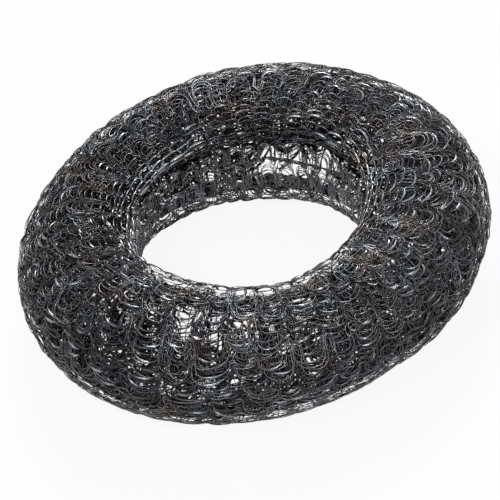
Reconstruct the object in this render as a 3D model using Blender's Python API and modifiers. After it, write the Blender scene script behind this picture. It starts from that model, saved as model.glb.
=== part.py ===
"""A pot scourer: one knitted steel sleeve, rolled up on itself into a soft ring.

The sleeve starts as a flat grid, one column group to a wale and one row to each step of
the roll. Open stitches are cut out of it, and it is then rolled: across the grid it runs
round the ring, and along the grid it runs round the section. The roll starts at a free
edge under the ring, beside its foot, passes up the outside, over the top and down the inner
wall, and then goes on inside the first turn. The wall, the ridges of the wales, the drop of
the loops and the open stitches stand for the knitted wire.

Units are metres, with Z up. The ring lies on a small flat foot, centred on the origin.
"""

from math import cos, pi, radians, sin, tau

import bmesh
import bpy

COLLECTION_NAME = "metal_scourer"
PIECE_NAME = "knitted_ring"

# Ring and section
RING_RADIUS = 0.0339
TUBE_HALF_WIDTH = 0.0135
INNER_WALL_REACH = 0.0116
TUBE_HEIGHT = 0.0269
INNER_CORNER_SHARPNESS = 8

# How far the soft ring is from a true circle, and its thick and thin places
OVAL = 0.0016
OVAL_DIRECTION = radians(43)
LOBES = 0.0004
LOBE_DIRECTION = radians(7)
SIDE_SWELL = 0.0006
SIDE_SWELL_DIRECTION = radians(6)
END_SWELL = 0.0009
END_SWELL_DIRECTION = radians(50)
LOBE_SWELL = 0.00035
LOBE_SWELL_DIRECTION = radians(-10)

# Knit
WALE_COUNT = 44
COLUMNS_PER_WALE = 3
WALE_RIDGE = 0.0010
GROOVE_WIDTH = 0.0028
STITCH_RELIEF = 0.00035
LOOP_DROP_LENGTH = 0.0014
WALL = 0.0010

# Roll, counted in steps round the section
STEPS_PER_TURN = 16
OVERLAP_STEPS = 8
TURN_CLEARANCE = 0.0010
TIGHTENING_PER_STEP = 0.00012
FOOT_WIDTH = 0.0052

# Rows of open stitches, as the step each lies on and how many wales lie between two of them
OPEN_ROWS = ((7, 2, 0), (9, 2, 1), (11, 2, 0), (13, 1, 0))

# Worked out from the sizes above
STEP_ANGLE = tau / STEPS_PER_TURN
BOTTOM = -pi / 2
EDGE_ANGLE = BOTTOM - 1.5 * STEP_ANGLE
FOOT_ROWS = (1, 2)
ROW_COUNT = STEPS_PER_TURN + OVERLAP_STEPS
COLUMN_COUNT = WALE_COUNT * COLUMNS_PER_WALE
WALE_ANGLE = tau / WALE_COUNT
ROLL_STEP = WALL + WALE_RIDGE + TURN_CLEARANCE
MERGE_DISTANCE = 0.000001

STEEL_COLOUR = (0.10, 0.10, 0.105, 1.0)
STEEL_ROUGHNESS = 0.35
STEEL_METALLIC = 0.9


def clear_scene():
    """Remove every object that is already in the file."""
    for item in list(bpy.data.objects):
        bpy.data.objects.remove(item, do_unlink=True)


def steel_material():
    """Return the finish of the dark drawn wire."""
    material = bpy.data.materials.new("steel_wire")
    material.use_nodes = True
    shader = material.node_tree.nodes["Principled BSDF"]
    shader.inputs["Base Color"].default_value = STEEL_COLOUR
    shader.inputs["Roughness"].default_value = STEEL_ROUGHNESS
    shader.inputs["Metallic"].default_value = STEEL_METALLIC
    return material


def ring_radius(theta):
    """Return how far the middle of the section lies from the ring's centre at an angle round the ring."""
    oval = OVAL * cos(2 * (theta - OVAL_DIRECTION))
    lobes = LOBES * cos(3 * (theta - LOBE_DIRECTION))
    return RING_RADIUS + oval + lobes


def swell(theta):
    """Return how much thicker than its mean the tube is at an angle round the ring."""
    side = SIDE_SWELL * cos(theta - SIDE_SWELL_DIRECTION)
    ends = END_SWELL * cos(2 * (theta - END_SWELL_DIRECTION))
    lobes = LOBE_SWELL * cos(3 * (theta - LOBE_SWELL_DIRECTION))
    return side + ends + lobes


def section_share(phi):
    """Return the share of the round section left at an angle round it, where its inner side is flat."""
    inward = -cos(phi)
    if inward <= 0:
        return 1.0
    flat = INNER_WALL_REACH / (TUBE_HALF_WIDTH * inward)
    return (1 + flat ** -INNER_CORNER_SHARPNESS) ** (-1 / INNER_CORNER_SHARPNESS)


def is_ridge(column):
    """Tell whether a column of the grid is the crown of a wale."""
    return column % COLUMNS_PER_WALE == 0


def column_angle(column):
    """Return the angle round the ring of a column: a wale's crown or one side of a groove."""
    wale, place = divmod(column, COLUMNS_PER_WALE)
    if place == 0:
        return wale * WALE_ANGLE
    side = -1 if place == 1 else 1
    return (wale + 0.5) * WALE_ANGLE + side * 0.5 * GROOVE_WIDTH / RING_RADIUS


def row_depth(row):
    """Return how far below the outer skin the roll has wound by a row."""
    wound = row - (STEPS_PER_TURN - 1)
    if wound <= 0:
        return 0.0
    return ROLL_STEP + (wound - 1) * TIGHTENING_PER_STEP


def relief_depth(column, row):
    """Return how far a point of the knit lies below the crowns of its stitches."""
    raised_row = row % 2 == 0
    if is_ridge(column):
        return 0.0 if raised_row else STITCH_RELIEF
    return WALE_RIDGE - (0.0 if raised_row else STITCH_RELIEF)


def rolled_point(column, row):
    """Return the place in the rolled ring of one point of the flat sleeve."""
    theta = column_angle(column)
    middle = ring_radius(theta)
    if row in FOOT_ROWS:
        side = -1 if row == FOOT_ROWS[0] else 1
        reach = middle + side * FOOT_WIDTH / 2
        return reach * cos(theta), reach * sin(theta), 0.0
    phi = EDGE_ANGLE + row * STEP_ANGLE
    if is_ridge(column) and row < STEPS_PER_TURN:
        phi -= LOOP_DROP_LENGTH / TUBE_HALF_WIDTH
    depth = row_depth(row) + relief_depth(column, row)
    share = section_share(phi)
    half_width = TUBE_HALF_WIDTH + swell(theta)
    half_height = half_width * TUBE_HEIGHT / (2 * TUBE_HALF_WIDTH)
    reach = middle + (half_width - depth) * share * cos(phi)
    height = half_height + (half_height - depth) * share * sin(phi)
    return reach * cos(theta), reach * sin(theta), height


def flat_sleeve():
    """Return the sleeve as a flat grid, with its columns along X and its rows along Y."""
    sleeve = bmesh.new()
    bmesh.ops.create_grid(sleeve, x_segments=COLUMN_COUNT, y_segments=ROW_COUNT, size=0.5)
    for vertex in sleeve.verts:
        vertex.co.x = round((vertex.co.x + 0.5) * COLUMN_COUNT)
        vertex.co.y = round((vertex.co.y + 0.5) * ROW_COUNT)
    return sleeve


def is_open_stitch(face):
    """Tell whether a face of the flat sleeve is the groove of an open stitch."""
    centre = face.calc_center_median()
    wale, place = divmod(int(centre.x), COLUMNS_PER_WALE)
    if place != 1:
        return False
    return any(int(centre.y) == row and wale % every == first for row, every, first in OPEN_ROWS)


def open_stitches(sleeve):
    """Cut the open stitches out of the grooves between the wales."""
    openings = [face for face in sleeve.faces if is_open_stitch(face)]
    bmesh.ops.delete(sleeve, geom=openings, context="FACES")


def thin_out_hidden_rows(sleeve):
    """Leave one column to a wale where the sleeve runs on inside its first turn."""
    place_of = {(round(vertex.co.x), round(vertex.co.y)): vertex for vertex in sleeve.verts}
    welds = {}
    for (column, row), vertex in place_of.items():
        if row > STEPS_PER_TURN and not is_ridge(column):
            step = -1 if column % COLUMNS_PER_WALE == 1 else 1
            welds[vertex] = place_of[(column + step, row)]
    bmesh.ops.weld_verts(sleeve, targetmap=welds)


def roll_up(sleeve):
    """Roll the flat sleeve into the ring and close it round the ring."""
    for vertex in sleeve.verts:
        vertex.co = rolled_point(round(vertex.co.x), round(vertex.co.y))
    bmesh.ops.remove_doubles(sleeve, verts=sleeve.verts, dist=MERGE_DISTANCE)
    bmesh.ops.recalc_face_normals(sleeve, faces=sleeve.faces)


def centre_on_origin(sleeve):
    """Move the ring so that its outline is centred on the origin."""
    for axis in (0, 1):
        places = [vertex.co[axis] for vertex in sleeve.verts]
        middle = (min(places) + max(places)) / 2
        for vertex in sleeve.verts:
            vertex.co[axis] -= middle


def add_knitted_ring(collection):
    """Knit, open, roll and thicken the sleeve."""
    sleeve = flat_sleeve()
    open_stitches(sleeve)
    thin_out_hidden_rows(sleeve)
    roll_up(sleeve)
    centre_on_origin(sleeve)
    mesh = bpy.data.meshes.new(PIECE_NAME)
    sleeve.to_mesh(mesh)
    sleeve.free()
    ring = bpy.data.objects.new(PIECE_NAME, mesh)
    ring.data.materials.append(steel_material())
    collection.objects.link(ring)
    wall = ring.modifiers.new("wall", "SOLIDIFY")
    wall.thickness = WALL
    wall.offset = -1
    mesh.shade_smooth()
    return ring


def main():
    """Build the scourer in a collection of its own."""
    clear_scene()
    collection = bpy.data.collections.new(COLLECTION_NAME)
    bpy.context.scene.collection.children.link(collection)
    add_knitted_ring(collection)


main()
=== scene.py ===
"""Dress the rolled ring: a scourer knitted from drawn steel wire.

The plain rolled solid is stood for by the real thing, a knitted sleeve laid course by course
along the same roll. Each course is one closed wire, bent into a loop for every wale. The file
then gives the wire its finish, with painted highlights and painted shade in its colour, and
sets the floor, the lights and the camera.

Units are metres, with Z up, in the frame of the part. Angles round the ring are called theta,
start at +X and turn towards +Y. Angles round the section are called phi, start at the outer
side and turn over the top towards the hole.
"""

import logging
import math
from dataclasses import astuple, dataclass, field
from enum import Enum
from typing import Any

import bpy
import numpy as np
from mathutils import Matrix, Vector


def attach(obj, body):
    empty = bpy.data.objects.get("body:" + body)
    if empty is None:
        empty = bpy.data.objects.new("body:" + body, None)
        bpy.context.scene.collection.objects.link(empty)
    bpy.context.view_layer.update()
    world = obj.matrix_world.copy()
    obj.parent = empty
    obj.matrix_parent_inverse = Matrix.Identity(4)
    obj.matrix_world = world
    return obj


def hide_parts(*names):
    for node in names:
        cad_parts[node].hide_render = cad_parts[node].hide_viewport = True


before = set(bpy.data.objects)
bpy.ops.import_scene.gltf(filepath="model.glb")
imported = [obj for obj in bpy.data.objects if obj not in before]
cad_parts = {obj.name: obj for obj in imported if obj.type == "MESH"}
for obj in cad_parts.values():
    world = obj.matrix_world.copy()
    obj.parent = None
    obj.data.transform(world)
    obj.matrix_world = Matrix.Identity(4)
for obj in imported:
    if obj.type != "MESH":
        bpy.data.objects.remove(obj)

LOG = logging.getLogger("scourer")
CAD_NODE = "knitted_ring"
BODY = "root"
# How pale each point of the wire is painted: worn at random, with painted sheen, painted highlights
# and painted shade
RUB_AND_SHEEN_ATTRIBUTE = "rub_and_sheen"
WHITE = (1.0, 1.0, 1.0, 1.0)
MM = 0.001

# The radius at which angles round the section are turned into lengths of the sleeve
SECTION_RADIUS = 12.5 * MM

Values = float | np.ndarray
Colour = tuple[float, float, float, float]


def degrees_past(angle: Values, mark_deg: float) -> Values:
    """Return how far angles lie past a mark, by the shorter way round.

    Args:
        angle: One angle in radians, or an array of them.
        mark_deg: The mark, in degrees.

    Returns:
        Degrees from -180 to 180.
    """
    return (np.degrees(angle) - mark_deg + 180) % 360 - 180


def eased(share: Values) -> Values:
    """Return shares from 0 to 1 with a soft start and a soft end."""
    return share * share * (3 - 2 * share)


def bump(past: Values, width: Values) -> Values:
    """Return a smooth bump: 1 in its middle, and fading out beyond its width."""
    return np.exp(-((past / width) ** 2))


class Turns(Enum):
    """Which turns of the roll something happens to."""

    SKIN = "the outer turn"
    INSIDE = "the turns inside"
    ALL = "every turn"

    def include(self, inner: bool) -> bool:
        """Tell whether a course belongs to these turns.

        Args:
            inner: Whether the course lies inside the outer turn.

        Returns:
            Whether it does.
        """
        return self is Turns.ALL or (self is Turns.INSIDE) == inner


@dataclass(frozen=True)
class RingForm:
    """The shape of the soft ring: the same sizes as the solid that carries it."""

    ring_radius: float = 33.9 * MM
    half_width: float = 13.5 * MM
    inner_reach: float = 11.6 * MM
    height: float = 26.9 * MM
    corner_sharpness: int = 8
    least_inward: float = 1e-6
    oval: float = 1.6 * MM
    oval_direction: float = math.radians(43)
    lobes: float = 0.4 * MM
    lobe_direction: float = math.radians(7)
    side_swell: float = 0.6 * MM
    side_swell_direction: float = math.radians(6)
    end_swell: float = 0.9 * MM
    end_swell_direction: float = math.radians(50)
    lobe_swell: float = 0.35 * MM
    lobe_swell_direction: float = math.radians(-10)
    outline_steps: int = 721

    def middle(self, theta: np.ndarray) -> np.ndarray:
        """Return how far the middle of the section lies from the ring's centre at each angle."""
        oval = self.oval * np.cos(2 * (theta - self.oval_direction))
        lobes = self.lobes * np.cos(3 * (theta - self.lobe_direction))
        return self.ring_radius + oval + lobes

    def width_at(self, theta: np.ndarray) -> np.ndarray:
        """Return half the tube's width at each angle round the ring."""
        side = self.side_swell * np.cos(theta - self.side_swell_direction)
        ends = self.end_swell * np.cos(2 * (theta - self.end_swell_direction))
        lobes = self.lobe_swell * np.cos(3 * (theta - self.lobe_swell_direction))
        return self.half_width + side + ends + lobes

    def section_share(self, phi: np.ndarray) -> np.ndarray:
        """Return the share of the round section left where its inner side is flat."""
        inward = np.maximum(-np.cos(phi), self.least_inward)
        flat = self.inner_reach / (self.half_width * inward)
        return (1 + flat ** -self.corner_sharpness) ** (-1 / self.corner_sharpness)

    def place(self, theta: np.ndarray, phi: np.ndarray, depth: np.ndarray) -> np.ndarray:
        """Return points of the ring, before it is centred.

        Args:
            theta: Angles round the ring.
            phi: Angles round the section.
            depth: How far below the ring's skin each point lies.

        Returns:
            Points as an array whose last axis holds X, Y and Z.
        """
        share = self.section_share(phi)
        wide = self.width_at(theta)
        tall = wide * self.height / (2 * self.half_width)
        reach = self.middle(theta) + (wide - depth) * share * np.cos(phi)
        rise = tall + (tall - depth) * share * np.sin(phi)
        return np.stack((reach * np.cos(theta), reach * np.sin(theta), rise), axis=-1)

    def centre(self) -> np.ndarray:
        """Return the middle of the ring's outline, which is the origin of the part."""
        theta = np.linspace(0, math.tau, self.outline_steps)
        outline = self.place(theta, np.zeros_like(theta), np.zeros_like(theta))
        middle = (outline.min(axis=0) + outline.max(axis=0)) / 2
        return np.array((middle[0], middle[1], 0.0))


@dataclass(frozen=True)
class SleeveRoll:
    """How the flat sleeve is rolled up round the section.

    The sleeve's own length is measured along the middle of its wall, from the free edge.
    """

    form: RingForm
    edge_angle: float = math.radians(-95)
    turns: float = 2.62
    spare: float = math.radians(60)
    first_depth: float = 0.45 * MM
    turn_pitch: float = 1.15 * MM
    tuck_start: float = math.radians(332)
    tuck_end: float = math.radians(364)
    crest_angle: float = math.radians(137)
    crest_width: float = math.radians(13)
    crest_rise: float = 0.4 * MM
    table_steps: int = 4000

    def angles(self) -> np.ndarray:
        """Return closely spaced angles along the roll, from its free edge to past its inner end."""
        return np.linspace(0, self.turns * math.tau + self.spare, self.table_steps)

    def depth(self, rolled: np.ndarray) -> np.ndarray:
        """Return how deep the middle of the wall lies after rolling through each angle."""
        tucked = np.clip((rolled - self.tuck_start) / (self.tuck_end - self.tuck_start), 0, 1)
        later = np.maximum(rolled - self.tuck_end, 0) / math.tau
        turned = self.first_depth + self.turn_pitch * (eased(tucked) + later)
        return turned - self.crest_rise * self.crest(rolled)

    def crest(self, rolled: Values) -> Values:
        """Return how near the crest beside the hole a place on the roll is, from 0 to 1."""
        past = (self.edge_angle + rolled - self.crest_angle + math.pi) % math.tau - math.pi
        return bump(past, self.crest_width)

    def lengths(self) -> np.ndarray:
        """Return the sleeve's length at each of the closely spaced angles."""
        rolled = self.angles()
        wall = self.form.place(np.zeros_like(rolled), self.edge_angle + rolled, self.depth(rolled))
        steps = np.linalg.norm(np.diff(wall, axis=0), axis=1)
        return np.concatenate(((0.0,), np.cumsum(steps)))


@dataclass(frozen=True)
class Gathering:
    """A stretch of the section where the courses are drawn together into bundles.

    One bundle lies at the bundle's angle, and the others a pitch apart. At either end of the
    stretch the bundles fade out, over a share of half its length.
    """

    start_deg: float
    end_deg: float
    bundle_deg: float
    pitch_deg: float
    pull: float
    turns: Turns
    fading: float = 0.3

    def share(self, phi: float, inner: bool) -> float:
        """Return how far a course is gathered, from 0 to 1.

        Args:
            phi: The course's angle round the section.
            inner: Whether it lies inside the outer turn.

        Returns:
            The share of the full pull.
        """
        if not self.turns.include(inner):
            return 0.0
        half = (self.end_deg - self.start_deg) / 2
        away = abs(degrees_past(phi, self.start_deg + half))
        return float(np.clip((half - away) / (self.fading * half), 0, 1))

    def shift(self, phi: float, inner: bool) -> float:
        """Return how far a course is drawn along the sleeve towards its bundle.

        Args:
            phi: The course's angle round the section.
            inner: Whether it lies inside the outer turn.

        Returns:
            The distance.
        """
        past = degrees_past(phi, self.bundle_deg)
        off = math.radians(past - round(past / self.pitch_deg) * self.pitch_deg)
        return -off * SECTION_RADIUS * self.pull * self.share(phi, inner)


@dataclass(frozen=True)
class Parting:
    """A place where the knit has been drawn apart, so that light shows through.

    A loosened place keeps its courses, but they lie wider apart in its middle.
    """

    section_deg: float
    ring_deg: float
    half_length: float
    half_width_deg: float
    pull: float
    turns: Turns = Turns.ALL
    loosened: bool = False
    edge_sharpness: int = 4

    def shift(self, theta: np.ndarray, phi: float, inner: bool) -> np.ndarray:
        """Return how far a course is pushed along the sleeve.

        Args:
            theta: Angles round the ring.
            phi: The course's angle round the section.
            inner: Whether the course lies inside the outer turn.

        Returns:
            One distance for each angle.
        """
        if not self.turns.include(inner):
            return np.zeros_like(theta)
        away = math.radians(degrees_past(phi, self.section_deg)) * SECTION_RADIUS
        push = math.copysign(max(self.half_length - abs(away), 0) * self.pull, away)
        if self.loosened:
            push *= abs(away) / self.half_length
        beside = degrees_past(theta, self.ring_deg)
        return push * np.exp(-((beside / self.half_width_deg) ** self.edge_sharpness))


@dataclass(frozen=True)
class Spot:
    """A place on the ring where the knit has more or less of something, fading out round it."""

    section_deg: float
    ring_deg: float
    section_spread_deg: float
    ring_spread_deg: float
    strength: float

    def at(self, theta: np.ndarray, phi: Values) -> np.ndarray:
        """Return the spot's strength at places on the ring.

        Args:
            theta: Angles round the ring.
            phi: Angles round the section.

        Returns:
            One strength for each place.
        """
        across = degrees_past(phi, self.section_deg) / self.section_spread_deg
        beside = degrees_past(theta, self.ring_deg) / self.ring_spread_deg
        return self.strength * np.exp(-(across ** 2 + beside ** 2))


@dataclass(frozen=True)
class KnitState:
    """How the knit is drawn at one angle round the section.

    Attributes:
        section_deg: The angle, in degrees.
        spacing_mm: The distance from one course to the next on the skin.
        inner_spacing_mm: The same distance in the turns inside.
        reach_mm: How far a loop swings to either side of its course.
        stray_share: How far loops stray sideways, as a share of the usual.
        edge_on_deg: How far the flat wire is turned on edge.
        slim_share: The share of its width that the wire has.
        painted_sheen: How much paler the wire is painted there, a painted sheen.
        sink_mm: How much deeper than its mean the wall lies.
    """

    section_deg: float
    spacing_mm: float
    inner_spacing_mm: float
    reach_mm: float
    stray_share: float
    edge_on_deg: float
    slim_share: float
    # Paler on the inner wall and crest: painted sheen
    painted_sheen: float
    sink_mm: float


@dataclass(frozen=True)
class KnitTension:
    """How the knit is drawn round the section: squeezed at the crest, fine on the inner wall."""

    stops: tuple[KnitState, ...] = (
        KnitState(-180, 0.9, 2.0, 2.4, 0.8, 75, 0.45, 0.3, 0.1),
        KnitState(-158, 0.9, 2.0, 2.2, 0.8, 70, 0.5, 0.3, 0.2),
        KnitState(-146, 0.8, 1.8, 1.2, 1.0, 30, 0.8, 0.15, 0.4),
        KnitState(-128, 0.7, 1.3, 0.9, 1.0, 0, 1.1, 0.0, 0.45),
        KnitState(-112, 1.0, 1.2, 1.3, 1.0, 30, 1.1, 0.0, 0.3),
        KnitState(-95, 1.2, 1.2, 1.8, 1.0, 45, 1.0, 0.0, 0.0),
        KnitState(-62, 0.9, 0.9, 1.6, 1.0, 30, 1.0, 0.0, -0.1),
        KnitState(-50, 0.6, 0.8, 1.1, 1.0, 0, 1.1, 0.0, -0.15),
        KnitState(-36, 0.75, 0.8, 1.3, 1.0, 0, 1.1, 0.0, -0.15),
        KnitState(8, 0.9, 0.8, 1.9, 1.0, 0, 1.0, 0.0, -0.15),
        KnitState(28, 0.9, 0.8, 2.4, 1.0, 0, 1.0, 0.0, -0.15),
        KnitState(100, 0.9, 0.8, 2.4, 1.0, 0, 1.0, 0.0, 0.1),
        KnitState(122, 1.4, 0.9, 0.55, 1.0, 0, 1.0, 0.0, 0.3),
        KnitState(150, 1.5, 1.3, 0.6, 1.0, 0, 0.9, 0.05, 0.2),
        KnitState(162, 0.9, 1.9, 2.2, 0.8, 60, 0.6, 0.2, 0.1),
        KnitState(180, 0.9, 2.0, 2.4, 0.8, 75, 0.45, 0.3, 0.1),
    )
    gatherings: tuple[Gathering, ...] = (
        Gathering(138, 214, 162, 28, 0.6, Turns.SKIN),
        Gathering(126, 214, 177, 30, 0.85, Turns.INSIDE),
    )
    partings: tuple[Parting, ...] = (
        # Windows on the near top
        Parting(72, -102, 3.4 * MM, 13, 0.06, Turns.SKIN, loosened=True),
        Parting(74, -110.1, 7.0 * MM, 2.7, 2.2, Turns.INSIDE, loosened=True),
        Parting(74, -102, 7.4 * MM, 2.7, 2.2, Turns.INSIDE, loosened=True),
        Parting(72, -93.8, 7.0 * MM, 2.7, 2.2, Turns.INSIDE, loosened=True),
        # The near inner wall behind them, and the near crest beyond them
        Parting(-167, -112, 6.2 * MM, 20, 1.0),
        Parting(124, -106, 2.6 * MM, 20, 0.55),
        # Openings on the far underside, behind the windows of the inner wall
        Parting(-70, 84, 6.9 * MM, 2.5, 0.95, Turns.SKIN),
        Parting(-70, 74.8, 6.9 * MM, 3.3, 0.95, Turns.SKIN),
        Parting(-70, 63.5, 6.9 * MM, 3.0, 0.95, Turns.SKIN),
        Parting(-70, 82.6, 6.9 * MM, 3.8, 0.95, Turns.INSIDE),
        Parting(-70, 74, 6.9 * MM, 3.8, 0.95, Turns.INSIDE),
        Parting(-70, 65, 6.9 * MM, 3.8, 0.95, Turns.INSIDE),
    )

    def at(self, phi: float) -> KnitState:
        """Return how the knit is drawn at any angle round the section, between the stops."""
        table = np.array([astuple(stop) for stop in self.stops])
        turned = degrees_past(phi, 0)
        return KnitState(*(float(np.interp(turned, table[:, 0], column)) for column in table.T))

    def gathered(self, phi: float, inner: bool) -> float:
        """Return how far a course at an angle round the section is in a bundle, from 0 to 1."""
        return max(gathering.share(phi, inner) for gathering in self.gatherings)

    def bundled(self, phi: float, length: float, inner: bool) -> float:
        """Return where a course lies once it is drawn towards its bundle.

        Args:
            phi: The course's angle round the section.
            length: Its place along the sleeve before that.
            inner: Whether it lies inside the outer turn.

        Returns:
            Its place along the sleeve.
        """
        return length + sum(gathering.shift(phi, inner) for gathering in self.gatherings)

    def parted(self, theta: np.ndarray, phi: float, inner: bool) -> np.ndarray:
        """Return how far a course is pushed along the sleeve by all the partings.

        Args:
            theta: Angles round the ring.
            phi: The course's angle round the section.
            inner: Whether it lies inside the outer turn.

        Returns:
            One distance for each angle.
        """
        return sum(parting.shift(theta, phi, inner) for parting in self.partings)


@dataclass(frozen=True)
class Wire:
    """The drawn wire, a little flattened, and how finely its mesh is divided."""

    width: float = 0.29 * MM
    thickness: float = 0.15 * MM
    crest_gain: float = 0.7
    inner_gain: float = 1.9
    fine_points: int = 19
    plain_points: int = 8
    sides: int = 4


@dataclass(frozen=True)
class Stitch:
    """The shape of one loop and how far loops differ from each other.

    Plain numbers are shares, or widths and shifts counted in wales.
    """

    # The loop's outline, and how far its head and foot stand out of the wall
    bulge: float = 0.10
    belly: float = 0.13
    wall: float = 0.26 * MM
    lean_out: float = 0.12 * MM
    full_reach: float = 2.2 * MM
    least_relief: float = 0.4

    # How far loops differ, and how the wire twists
    shift_along: float = 0.21
    shift_up: float = 0.5 * MM
    shift_out: float = 0.16 * MM
    uneven_reach: float = 0.4
    uneven_belly: float = 0.35
    twist: float = math.radians(35)
    leg_twist: float = math.radians(50)

    # What changes at the crest beside the hole, and in the bundles
    crest_order: float = 0.7
    crest_calm: float = 0.7
    crest_belly: float = 0.14
    crest_lean: float = 0.20 * MM
    crest_tilt: float = math.radians(-38)
    bundle_order: float = 0.6
    bundle_squeeze: float = 0.8

    # How worn and pale the wire is painted; the inner turns are darker, a painted shade
    rub_and_sheen: float = 0.145
    uneven_rub: float = 0.15
    inner_rub_and_shade: float = 0.07

    # The flat bright places
    glint_share: float = 0.15
    glint_spread: float = 0.07
    glint_length: float = 0.052
    glint_gain: float = 1.4
    crest_glint: float = 1.3


class SmoothField:
    """A gentle wandering value over the sleeve, the same on every run."""

    def __init__(self, seed: int, waves: int = 7, around: int = 6, along: float = 0.35) -> None:
        """Draw the waves.

        Args:
            seed: Where the random draw starts.
            waves: How many waves are added.
            around: The most times that a wave repeats round the ring.
            along: The most radians that a wave turns in a millimetre of the sleeve.
        """
        draw = np.random.default_rng(seed)
        self.around = draw.integers(1, around + 1, waves)
        self.along = draw.uniform(-along, along, waves) / MM
        self.phase = draw.uniform(0, math.tau, waves)

    def at(self, theta: np.ndarray, length: Values) -> np.ndarray:
        """Return the field's value, mostly between -1 and 1.

        Args:
            theta: Angles round the ring.
            length: Places along the sleeve.

        Returns:
            One value for each place.
        """
        total = np.zeros(np.broadcast(theta, length).shape)
        for around, along, phase in zip(self.around, self.along, self.phase):
            total += np.cos(around * theta + along * length + phase)
        return total / math.sqrt(len(self.phase) * 2)


class StitchScatter:
    """A value for every stitch of every course, blended smoothly along the wire."""

    # How much a stitch takes from the course before and from its own draw
    KEPT = 0.55
    FRESH = 0.83

    def __init__(self, draw: np.random.Generator, courses: int, wales: int) -> None:
        """Draw the values, each a little like the one in the course before.

        Args:
            draw: The random source.
            courses: How many courses the sleeve has.
            wales: How many stitches a course has.
        """
        own = draw.normal(0, 1, (courses, wales))
        self.values = own.copy()
        for course in range(1, courses):
            self.values[course] = self.KEPT * self.values[course - 1] + self.FRESH * own[course]

    def along_wire(self, course: int, place: np.ndarray) -> np.ndarray:
        """Return the value at places along one course.

        Args:
            course: The course's number.
            place: Places counted in stitches.

        Returns:
            One value for each place.
        """
        row = self.values[course]
        before = np.floor(place - 0.5).astype(int)
        blend = eased(place - 0.5 - before)
        return row[before % len(row)] * (1 - blend) + row[(before + 1) % len(row)] * blend


@dataclass(frozen=True)
class Course:
    """One course of the knit: where it lies on the roll, and the points along its wire.

    Attributes:
        number: Its number, counted from the free edge.
        base: Its place along the sleeve.
        rolled: How far the sleeve has rolled there.
        phi: Its angle round the section.
        knit: How the knit is drawn there.
        fine: Whether it lies on the skin, where its mesh is finer.
        crest: How near the crest beside the hole it is, from 0 to 1.
        squeeze: The share of its reach that it keeps in a bundle.
        freedom: How freely its loops differ, from 0 to 1.
        place: Where its points are, counted in stitches.
        about: Where they would be round the ring if its loops had no width.
    """

    number: int
    base: float
    rolled: float
    phi: float
    knit: KnitState
    fine: bool
    crest: float
    squeeze: float
    freedom: float
    place: np.ndarray
    about: np.ndarray


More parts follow.
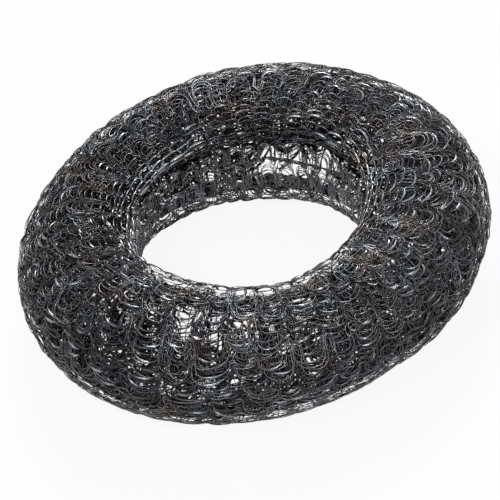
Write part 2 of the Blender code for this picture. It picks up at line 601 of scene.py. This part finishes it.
@dataclass
class KnittedSleeve:
    """The knitted wire sleeve, rolled up into the ring."""

    form: RingForm = field(default_factory=RingForm)
    tension: KnitTension = field(default_factory=KnitTension)
    wire: Wire = field(default_factory=Wire)
    stitch: Stitch = field(default_factory=Stitch)
    wales: int = 44
    fine_roll: float = math.radians(370)
    most_triangles: int = 195000
    row_gap: float = 2 * MM
    probe: float = 0.05 * MM
    seed: int = 11

    # How far the knit wanders, drifts and skews, and where the first wale lies
    wander_around: float = 0.25
    wander_along: float = 0.9 * MM
    wander_out: float = 0.20 * MM
    drifts: tuple[Spot, ...] = (Spot(140, 188, 26, 42, 1.9 * MM),)
    skew: float = 0.5
    square_angle: float = math.radians(-105)
    phase: float = 0.54

    # Where the wire has more or less painted sheen, with painted highlights along the crest strokes
    # and darker along the far crest, and where it has more or fewer glints: flat places of the
    # wire with painted highlights
    painted_sheen_spots: tuple[Spot, ...] = (
        Spot(149, 194, 16, 32, 0.95),
        Spot(135, 135, 12, 26, 0.35),
        Spot(134, -2, 13, 22, 0.40),
        Spot(137, 88, 16, 34, -0.20),
    )
    glint_spots: tuple[Spot, ...] = (
        Spot(100, -10, 34, 9, 0.50),
        Spot(146, 194, 20, 32, 0.80),
        Spot(-25, -90, 25, 60, 0.07),
        Spot(137, 90, 20, 40, -0.06),
    )
    glint_slant: Spot = Spot(105, -6, 45, 20, -0.12)

    # The hole's left corner, where the wall stands further into the hole, which makes it blunt
    corner_fill: float = 2.1 * MM
    corner_width: float = math.radians(20)
    corner_gain: float = 2.0
    corner_start: float = 0.6

    def __post_init__(self) -> None:
        """Lay out the roll and the courses, and draw what varies from stitch to stitch."""
        self.roll = SleeveRoll(self.form)
        self.rolled = self.roll.angles()
        self.length = self.roll.lengths()
        self.centre = self.form.centre()
        self.wale_angle = math.tau / self.wales
        bases = self.lay_out_courses()
        self.courses = [self.describe_course(number, base) for number, base in enumerate(bases)]
        count = len(self.courses)
        draw = np.random.default_rng(self.seed)
        names = ("along", "up", "out", "reach", "belly", "twist", "rub_and_sheen")
        self.scatter = {name: StitchScatter(draw, count, self.wales) for name in names}
        self.glint_draw = draw.uniform(0, 1, (count, self.wales))
        self.glint_place = draw.normal(0, self.stitch.glint_spread, (count, self.wales))
        self.around_field = SmoothField(self.seed + 1)
        self.along_field = SmoothField(self.seed + 2, around=14, along=0.7)
        self.out_field = SmoothField(self.seed + 3, around=9, along=0.6)

    def rolled_at(self, length: Values) -> Values:
        """Return how far the sleeve has rolled at places along it, in radians."""
        return np.interp(length, self.length, self.rolled)

    def lay_out_courses(self) -> list[float]:
        """Return the place along the sleeve at which each course lies."""
        bases = []
        length = self.tension.at(self.roll.edge_angle).reach_mm * MM
        last = np.interp(self.roll.turns * math.tau, self.rolled, self.length)
        while length < last:
            rolled = float(self.rolled_at(length))
            phi = self.roll.edge_angle + rolled
            inner = rolled > math.tau
            bases.append(self.tension.bundled(phi, length, inner))
            knit = self.tension.at(phi)
            length += (knit.inner_spacing_mm if inner else knit.spacing_mm) * MM
        return bases

    def describe_course(self, number: int, base: float) -> Course:
        """Return what is the same for the whole of one course.

        Args:
            number: The course, counted from the free edge.
            base: Its place along the sleeve.

        Returns:
            The course, with the places of its points.
        """
        rolled = float(self.rolled_at(base))
        phi = self.roll.edge_angle + rolled
        fine = rolled < self.fine_roll
        crest = float(self.roll.crest(rolled)) * fine
        gathered = self.tension.gathered(phi, not fine)
        freedom = (1 - self.stitch.crest_order * crest) * (1 - self.stitch.bundle_order * gathered)
        points = self.wire.fine_points if fine else self.wire.plain_points
        place = np.arange(self.wales * points) / points
        return Course(
            number=number,
            base=base,
            rolled=rolled,
            phi=phi,
            knit=self.tension.at(phi),
            fine=fine,
            crest=crest,
            squeeze=1.0 if fine else 1 - self.stitch.bundle_squeeze * gathered,
            freedom=freedom,
            place=place,
            about=(place + self.phase) * self.wale_angle,
        )

    def scattered(self, name: str, course: Course) -> np.ndarray:
        """Return one of the values that vary from stitch to stitch, at a course's points."""
        return self.scatter[name].along_wire(course.number, course.place)

    def surface(self, theta: np.ndarray, length: np.ndarray, out: np.ndarray) -> np.ndarray:
        """Return points on or near the rolled wall.

        Args:
            theta: Angles round the ring.
            length: Places along the sleeve from its free edge.
            out: How far outside the middle of the wall each point lies.

        Returns:
            Points in the frame of the part.
        """
        rolled = self.rolled_at(length)
        depth = self.roll.depth(rolled) - out
        return self.form.place(theta, self.roll.edge_angle + rolled, depth) - self.centre

    def around_ring(self, course: Course) -> np.ndarray:
        """Return the angle round the ring of each point of a course."""
        stitch = self.stitch
        turn = math.tau * course.place
        uneven = 1 + stitch.uneven_belly * course.freedom * self.scattered("belly", course)
        belly = stitch.belly * uneven + stitch.crest_belly * course.crest
        loop = course.place + stitch.bulge * np.sin(2 * turn) + belly * np.sin(turn)
        wander = self.wander_around * self.around_field.at(course.about, course.base)
        turns = course.rolled / math.tau
        wander = wander + self.skew * turns * np.sin(course.about - self.square_angle)
        stray = stitch.shift_along * course.knit.stray_share * self.scattered("along", course)
        return (loop + self.phase + wander + stray) * self.wale_angle

    def along_sleeve(self, course: Course) -> np.ndarray:
        """Return the place along the sleeve of each point of a course."""
        stitch = self.stitch
        field_here = self.along_field.at(course.about, course.base)
        along = course.base + self.wander_along * course.freedom * field_here
        along += self.tension.parted(course.about, course.phi, not course.fine)
        along += sum(drift.at(course.about, course.phi) for drift in self.drifts)
        uneven = 1 + stitch.uneven_reach * course.freedom * self.scattered("reach", course)
        reach = course.knit.reach_mm * MM * uneven * course.squeeze
        raised = stitch.shift_up * course.freedom * self.scattered("up", course)
        length = along - reach * np.cos(math.tau * course.place) + raised
        return np.clip(length, 0, self.length[-1])

    def above_wall(self, course: Course) -> np.ndarray:
        """Return how far above the middle of the wall each point of a course lies."""
        stitch = self.stitch
        turn = math.tau * course.place
        lean = stitch.lean_out + stitch.crest_lean * course.crest
        out = stitch.wall * np.cos(2 * turn) + lean * np.cos(turn)
        relief = course.knit.reach_mm * MM / stitch.full_reach
        out *= np.clip(relief, stitch.least_relief, 1)
        out -= course.knit.sink_mm * MM
        inward = -math.cos(course.phi) * self.corner_gain - self.corner_start
        beside = course.about % math.tau - math.pi
        out += self.corner_fill * float(np.clip(inward, 0, 1)) * bump(beside, self.corner_width)
        out += stitch.shift_out * self.scattered("out", course)
        out += self.wander_out * self.out_field.at(course.about, course.base)
        return out

    def glints(self, course: Course) -> np.ndarray:
        """Return how near each point of a course is to a flat bright place, from 0 to 1."""
        crown = np.round(course.place)
        nearest = crown.astype(int) % self.wales
        crowns = (np.arange(self.wales) + self.phase) * self.wale_angle
        spots = sum(spot.at(crowns, course.phi) for spot in self.glint_spots)
        share = self.stitch.glint_share + spots
        shows = (self.glint_draw[course.number] < share) * course.fine
        middle = self.glint_place[course.number] + self.glint_slant.at(crowns, course.phi)
        away = course.place - crown - middle[nearest]
        crest = 1 + self.stitch.crest_glint * course.crest
        spread = self.stitch.glint_length * (1 + share[nearest]) * crest
        return shows[nearest] * bump(away, spread)

    def wire_twist(self, course: Course, glint: np.ndarray) -> np.ndarray:
        """Return how far the flat wire is turned about its own line.

        Args:
            course: The course.
            glint: How near each of its points is to a bright place, where the wire lies flat.

        Returns:
            One angle for each point.
        """
        stitch = self.stitch
        tilt = stitch.crest_tilt * course.crest
        loose = 1 - stitch.crest_calm * course.crest
        twist = stitch.twist * self.scattered("twist", course) * loose
        twist += stitch.leg_twist * np.sin(math.tau * course.place)
        twist += math.radians(course.knit.edge_on_deg) * course.fine
        twist += tilt
        return twist + (tilt - twist) * glint

    def course_tube(self, course: Course) -> np.ndarray:
        """Return the tube of one course.

        Args:
            course: The course.

        Returns:
            A ring of points round the wire at each place along it, with X, Y and Z last.
        """
        theta = self.around_ring(course)
        length = self.along_sleeve(course)
        out = self.above_wall(course)
        line = self.surface(theta, length, out)
        across = self.surface(theta + self.probe / self.form.ring_radius, length, out) - line
        onward = self.surface(theta, length + self.probe, out) - line
        normal = np.cross(onward, across)

        # The middle of the wire stays half its width above the ground
        line[:, 2] = np.maximum(line[:, 2], self.wire.width / 2)
        tangent = np.roll(line, -1, axis=0) - np.roll(line, 1, axis=0)
        tangent /= np.linalg.norm(tangent, axis=1, keepdims=True)
        normal -= tangent * np.sum(normal * tangent, axis=1, keepdims=True)
        normal /= np.linalg.norm(normal, axis=1, keepdims=True)
        beside = np.cross(tangent, normal)

        glint = self.glints(course)
        twist = self.wire_twist(course, glint)[:, None]
        wide = beside * np.cos(twist) + normal * np.sin(twist)
        thin = normal * np.cos(twist) - beside * np.sin(twist)
        wide *= 1 + (self.wire.crest_gain * course.crest + self.stitch.glint_gain * glint)[:, None]
        wide *= course.knit.slim_share if course.fine else self.wire.inner_gain
        angles = -np.arange(self.wire.sides) * math.tau / self.wire.sides
        wide_part = self.wire.width / 2 * np.cos(angles)[None, :, None] * wide[:, None, :]
        thin_part = self.wire.thickness / 2 * np.sin(angles)[None, :, None] * thin[:, None, :]
        return line[:, None, :] + wide_part + thin_part

    def rub_and_sheen_of_course(self, course: Course) -> np.ndarray:
        """Return how pale each mesh point of one course is painted, from 0 to 1, painted sheen and
        shade included.
        """
        # The inner turns start darker: painted shade
        rub_and_sheen = self.stitch.rub_and_sheen if course.fine else self.stitch.inner_rub_and_shade
        rub_and_sheen = rub_and_sheen + self.stitch.uneven_rub * self.scattered("rub_and_sheen", course)
        if course.fine:
            theta = self.around_ring(course)
            phi = self.roll.edge_angle + self.rolled_at(self.along_sleeve(course))
            # Painted highlights along the crest strokes, and darker along the far crest
            rub_and_sheen += sum(spot.at(theta, phi) for spot in self.painted_sheen_spots)
        # Painted sheen on the inner wall and crest
        rub_and_sheen = np.clip(rub_and_sheen + course.knit.painted_sheen, 0, 1)
        # The glints are painted highlights: the wire is painted its palest there
        return np.repeat(np.maximum(rub_and_sheen, self.glints(course)), self.wire.sides)

    def plain_wire_ring(self, points: int) -> bpy.types.Object:
        """Return one plain closed ring of wire.

        Args:
            points: How many points it has along the wire, as many as a whole course needs.

        Returns:
            The mesh object.
        """
        bpy.ops.object.select_all(action="DESELECT")
        bpy.ops.mesh.primitive_circle_add(vertices=points, radius=self.form.ring_radius)
        bpy.ops.object.convert(target="CURVE")
        ring = bpy.context.object
        ring.data.bevel_depth = self.wire.width / 2
        # A bevelled wire has four sides, and two more for each step of its resolution
        ring.data.bevel_resolution = (self.wire.sides - 4) // 2
        bpy.ops.object.convert(target="MESH")
        return bpy.context.object

    def build_piece(self, name: str, courses: list[Course]) -> bpy.types.Object:
        """Bend plain wire rings into the loops of some courses.

        Args:
            name: The piece's name.
            courses: The courses that it holds, all of one fineness.

        Returns:
            The finished mesh object.
        """
        piece = self.plain_wire_ring(len(courses[0].place))
        piece.name = name
        piece.data.name = name
        rows = piece.modifiers.new("courses", "ARRAY")
        rows.count = len(courses)
        rows.use_relative_offset = False
        rows.use_constant_offset = True
        rows.constant_offset_displace = (0, 0, self.row_gap)
        bpy.ops.object.modifier_apply(modifier=rows.name)
        tubes = np.concatenate([self.course_tube(course).reshape(-1, 3) for course in courses])
        piece.data.vertices.foreach_set("co", tubes.astype(np.float32).ravel())
        rub_and_sheen = piece.data.attributes.new(RUB_AND_SHEEN_ATTRIBUTE, "FLOAT", "POINT")
        rubbed_and_sheen = np.concatenate([self.rub_and_sheen_of_course(course) for course in courses])
        rub_and_sheen.data.foreach_set("value", rubbed_and_sheen.astype(np.float32))
        piece.data.update()
        bpy.ops.object.shade_smooth()
        return piece

    def plan_stretches(self) -> list[list[Course]]:
        """Share the courses out: a stretch has loops of one fineness and not too many triangles."""
        stretches = [[]]
        for course in self.courses:
            last = stretches[-1]
            triangles = 2 * self.wire.sides * len(course.place) * (len(last) + 1)
            if last and (triangles > self.most_triangles or course.fine != last[0].fine):
                stretches.append([])
            stretches[-1].append(course)
        return stretches

    def build(self) -> list[bpy.types.Object]:
        """Return the sleeve's pieces, from the free edge inwards."""
        pieces = []
        for number, courses in enumerate(self.plan_stretches(), start=1):
            name = f"knit_stretch_{number:02d}"
            pieces.append(self.build_piece(name, courses))
            LOG.info("%s: courses %d to %d", name, courses[0].number, courses[-1].number)
        return pieces


class Socket:
    """A shader socket that can be used in sums, so that shader maths reads as plain maths."""

    def __init__(self, graph: "Graph", link: bpy.types.NodeSocket) -> None:
        """Keep the graph that the socket is in and the socket itself."""
        self.graph = graph
        self.link = link

    def __add__(self, other: "Socket | float") -> "Socket":
        """Return this value plus another."""
        return self.graph.maths("ADD", self, other)

    def __mul__(self, other: "Socket | float") -> "Socket":
        """Return this value times another."""
        return self.graph.maths("MULTIPLY", self, other)

    __radd__ = __add__
    __rmul__ = __mul__


class Graph:
    """The nodes of one material or world."""

    # A Mix node has sockets of one name for each kind of value, and these are its colours'
    FIRST_COLOUR = 6
    SECOND_COLOUR = 7
    MIXED_COLOUR = 2

    def __init__(self, tree: bpy.types.NodeTree) -> None:
        """Start from an empty tree."""
        self.tree = tree
        tree.nodes.clear()

    def node(self, kind: str, inputs: dict | None = None, **settings: Any) -> bpy.types.Node:
        """Add a node.

        Args:
            kind: The node's type name.
            inputs: Values or sockets for the node's inputs, by name or number.
            **settings: Values of the node's own properties.

        Returns:
            The new node.
        """
        node = self.tree.nodes.new(kind)
        for name, value in settings.items():
            setattr(node, name, value)
        for name, value in (inputs or {}).items():
            if isinstance(value, Socket):
                self.tree.links.new(value.link, node.inputs[name])
            else:
                node.inputs[name].default_value = value
        return node

    def out(self, node: bpy.types.Node, name: str | int = 0) -> Socket:
        """Return one output of a node."""
        return Socket(self, node.outputs[name])

    def maths(self, operation: str, first: Socket | float, second: Socket | float) -> Socket:
        """Return the result of a Math node.

        Args:
            operation: What it does, by Blender's name.
            first: Its first value.
            second: Its second value.

        Returns:
            The result.
        """
        return self.out(self.node("ShaderNodeMath", {0: first, 1: second}, operation=operation))

    def mix(self, factor: Socket, first: Socket | Colour, second: Socket | Colour) -> Socket:
        """Return a mix of two colours.

        Args:
            factor: How much of the second colour it has, from 0 to 1.
            first: The first colour.
            second: The second colour.

        Returns:
            The mixed colour.
        """
        inputs = {"Factor": factor, self.FIRST_COLOUR: first, self.SECOND_COLOUR: second}
        return self.out(self.node("ShaderNodeMix", inputs, data_type="RGBA"), self.MIXED_COLOUR)

    def noise(self, place: Socket, scale: float, detail: float) -> Socket:
        """Return the strength of a noise pattern.

        Args:
            place: Where on the object it is read.
            scale: How many times it repeats in a metre.
            detail: How many finer layers it has.

        Returns:
            Strengths about 0.5.
        """
        inputs = {"Vector": place, "Scale": scale, "Detail": detail}
        return self.out(self.node("ShaderNodeTexNoise", inputs, noise_dimensions="3D"))

    def map_range(self, value: Socket, limits: tuple[float, float, float, float]) -> Socket:
        """Return a value moved from one range to another.

        Args:
            value: The value.
            limits: The ends of the range that it comes from and of the one that it goes to.

        Returns:
            The value in its new range, and never outside it.
        """
        inputs = {0: value} | dict(enumerate(limits, start=1))
        return self.out(self.node("ShaderNodeMapRange", inputs))

    def seen_rays(self) -> Socket:
        """Return 1 for rays that bring a view to the camera, also in a mirror, and 0 for others."""
        rays = self.node("ShaderNodeLightPath")
        seen = self.out(rays, "Is Camera Ray") + self.out(rays, "Is Glossy Ray")
        return seen + self.out(rays, "Is Transmission Ray")


@dataclass(frozen=True)
class SteelFinish:
    """Dark drawn steel wire: satin, paler where worn at random and where sheen and highlights are
    painted, darker where shade is painted on the inner turns, with a faint warm or cold tint.

    A noise is how often its pattern repeats in a metre and how many finer layers it has. A
    range is the pattern's darkest and brightest values and what these become.
    """

    dark: Colour = (0.052, 0.0545, 0.0595, 1.0)
    # The palest steel, where the wire is worn and where sheen and highlights are painted
    light: Colour = (0.44, 0.465, 0.50, 1.0)
    warm_dark: Colour = (0.060, 0.046, 0.038, 1.0)
    warm_light: Colour = (0.48, 0.42, 0.37, 1.0)
    rub_noise: tuple[float, float] = (420.0, 2.0)
    rub_range: tuple[float, float, float, float] = (0.38, 0.66, 0.45, 1.0)
    tint_noise: tuple[float, float] = (160.0, 1.0)
    tint_range: tuple[float, float, float, float] = (0.48, 0.66, 0.0, 0.65)
    rough_noise: tuple[float, float] = (900.0, 1.0)
    rough_low: float = 0.14
    rough_high: float = 0.34
    mark_noise: tuple[float, float] = (6000.0, 2.0)
    mark_strength: float = 0.15
    mark_depth: float = 0.02 * MM

    def material(self) -> bpy.types.Material:
        """Return the finished material."""
        material = bpy.data.materials.new("drawn_steel_wire")
        material.use_nodes = True
        graph = Graph(material.node_tree)
        place = graph.out(graph.node("ShaderNodeTexCoord"), "Object")
        # The attribute is how pale the wire is painted: worn at random, with painted sheen, painted
        # highlights at the glints and painted shade on the inner turns
        wear_and_sheen = graph.node("ShaderNodeAttribute", attribute_name=RUB_AND_SHEEN_ATTRIBUTE)
        patchy = graph.map_range(graph.noise(place, *self.rub_noise), self.rub_range)
        rubbed_and_sheen = graph.out(wear_and_sheen, "Fac") * patchy
        tint = graph.map_range(graph.noise(place, *self.tint_noise), self.tint_range)
        steel = graph.mix(rubbed_and_sheen, self.dark, self.light)
        stained = graph.mix(rubbed_and_sheen, self.warm_dark, self.warm_light)
        uneven = graph.noise(place, *self.rough_noise)
        draw_marks = graph.node(
            "ShaderNodeBump",
            {
                "Strength": self.mark_strength,
                "Distance": self.mark_depth,
                "Height": graph.noise(place, *self.mark_noise),
            },
        )
        shader = graph.node(
            "ShaderNodeBsdfPrincipled",
            {
                "Base Color": graph.mix(tint, steel, stained),
                "Metallic": 1.0,
                "Roughness": self.rough_low + (self.rough_high - self.rough_low) * uneven,
                "Normal": graph.out(draw_marks),
            },
        )
        graph.node("ShaderNodeOutputMaterial", {"Surface": graph.out(shader)})
        return material


@dataclass(frozen=True)
class Lamp:
    """A square soft lamp that shines at the ring.

    Attributes:
        name: Its name.
        place: Where it hangs.
        size: The length of its side.
        power: Its power in watts.
    """

    name: str
    place: tuple[float, float, float]
    size: float
    power: float

    def hang(self) -> None:
        """Add the lamp to the scene, turned towards the ring."""
        bpy.ops.object.select_all(action="DESELECT")
        bpy.ops.object.light_add(type="AREA", location=self.place)
        lamp = bpy.context.object
        lamp.name = self.name
        lamp.data.shape = "SQUARE"
        lamp.data.size = self.size
        lamp.data.energy = self.power
        lamp.rotation_euler = Vector(self.place).to_track_quat("Z", "Y").to_euler()


@dataclass
class Studio:
    """The plain pale floor, the soft light and the camera."""

    form: RingForm
    pixels: int = 500
    pixels_per_mm: float = 5.0
    camera_distance: float = 2.0
    view_depth: float = 20.0
    elevation: float = math.radians(39.8)
    roll: float = math.radians(5.0)
    ring_centre_px: tuple[float, float] = (248.4, 242.7)
    sensor_mm: float = 36.0
    floor_size: float = 4.0
    floor_colour: Colour = (0.90, 0.90, 0.90, 1.0)
    floor_glow: float = 0.92

    # How bright the room is for the ring, and how much brighter where it is seen
    room_light: float = 0.25
    room_seen: float = 0.75

    lamps: tuple[Lamp, ...] = (
        Lamp("key_lamp", (-0.45, -0.5, 0.85), 0.2, 3.6),
        Lamp("fill_lamp", (0.55, -0.8, 0.4), 0.2, 2.6),
        Lamp("back_lamp", (0.05, 0.82, 0.68), 0.3, 7.5),
    )

    def add_floor(self) -> None:
        """Lay the floor under the ring. It looks white, but throws less light than it shows."""
        bpy.ops.object.select_all(action="DESELECT")
        bpy.ops.mesh.primitive_plane_add(size=self.floor_size, location=(0, 0, 0))
        floor = bpy.context.object
        floor.name = "floor"
        material = bpy.data.materials.new("pale_floor")
        material.use_nodes = True
        graph = Graph(material.node_tree)
        matt = graph.node("ShaderNodeBsdfDiffuse", {"Color": self.floor_colour})
        glow = graph.node("ShaderNodeEmission", {"Color": WHITE, "Strength": 1.0})
        share = graph.seen_rays() * self.floor_glow
        inputs = {0: share, 1: graph.out(matt), 2: graph.out(glow)}
        mixed = graph.node("ShaderNodeMixShader", inputs)
        graph.node("ShaderNodeOutputMaterial", {"Surface": graph.out(mixed)})
        floor.data.materials.append(material)

    def add_world(self) -> None:
        """Surround the scene with soft white light."""
        world = bpy.data.worlds.new("soft_room")
        bpy.context.scene.world = world
        world.use_nodes = True
        graph = Graph(world.node_tree)
        strength = self.room_light + graph.seen_rays() * self.room_seen
        sky = graph.node("ShaderNodeBackground", {"Color": WHITE, "Strength": strength})
        graph.node("ShaderNodeOutputWorld", {"Surface": graph.out(sky)})

    def add_camera(self) -> None:
        """Set up the camera at the photograph's angle, far off with a long lens."""
        back = Vector((0, -math.cos(self.elevation), math.sin(self.elevation)))
        turn = back.to_track_quat("Z", "Y").to_matrix() @ Matrix.Rotation(-self.roll, 3, "Z")
        centre = -Vector(self.form.centre()) + Vector((0, 0, self.form.height / 2))
        across = (self.ring_centre_px[0] - self.pixels / 2) / self.pixels_per_mm * MM
        down = (self.ring_centre_px[1] - self.pixels / 2) / self.pixels_per_mm * MM
        aim = centre - turn.col[0] * across + turn.col[1] * down
        bpy.ops.object.camera_add(location=aim + back * self.camera_distance)
        camera = bpy.context.object
        camera.rotation_euler = turn.to_euler()
        camera.data.sensor_width = self.sensor_mm
        distance_mm = self.camera_distance / MM
        camera.data.lens = self.pixels_per_mm * distance_mm * self.sensor_mm / self.pixels
        camera.data.clip_end = self.view_depth
        bpy.context.scene.camera = camera

    def build(self) -> None:
        """Add the floor, the light and the camera."""
        self.add_floor()
        self.add_world()
        for lamp in self.lamps:
            lamp.hang()
        self.add_camera()
        bpy.context.scene.view_settings.view_transform = "Standard"


def main() -> None:
    """Build the knit, its finish and the studio."""
    logging.basicConfig(level=logging.INFO)
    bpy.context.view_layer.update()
    sleeve = KnittedSleeve()
    steel = SteelFinish().material()
    for piece in sleeve.build():
        piece.data.materials.clear()
        piece.data.materials.append(steel)
        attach(piece, BODY)
        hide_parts(CAD_NODE)
    Studio(sleeve.form).build()


if __name__ == "__main__":
    main()
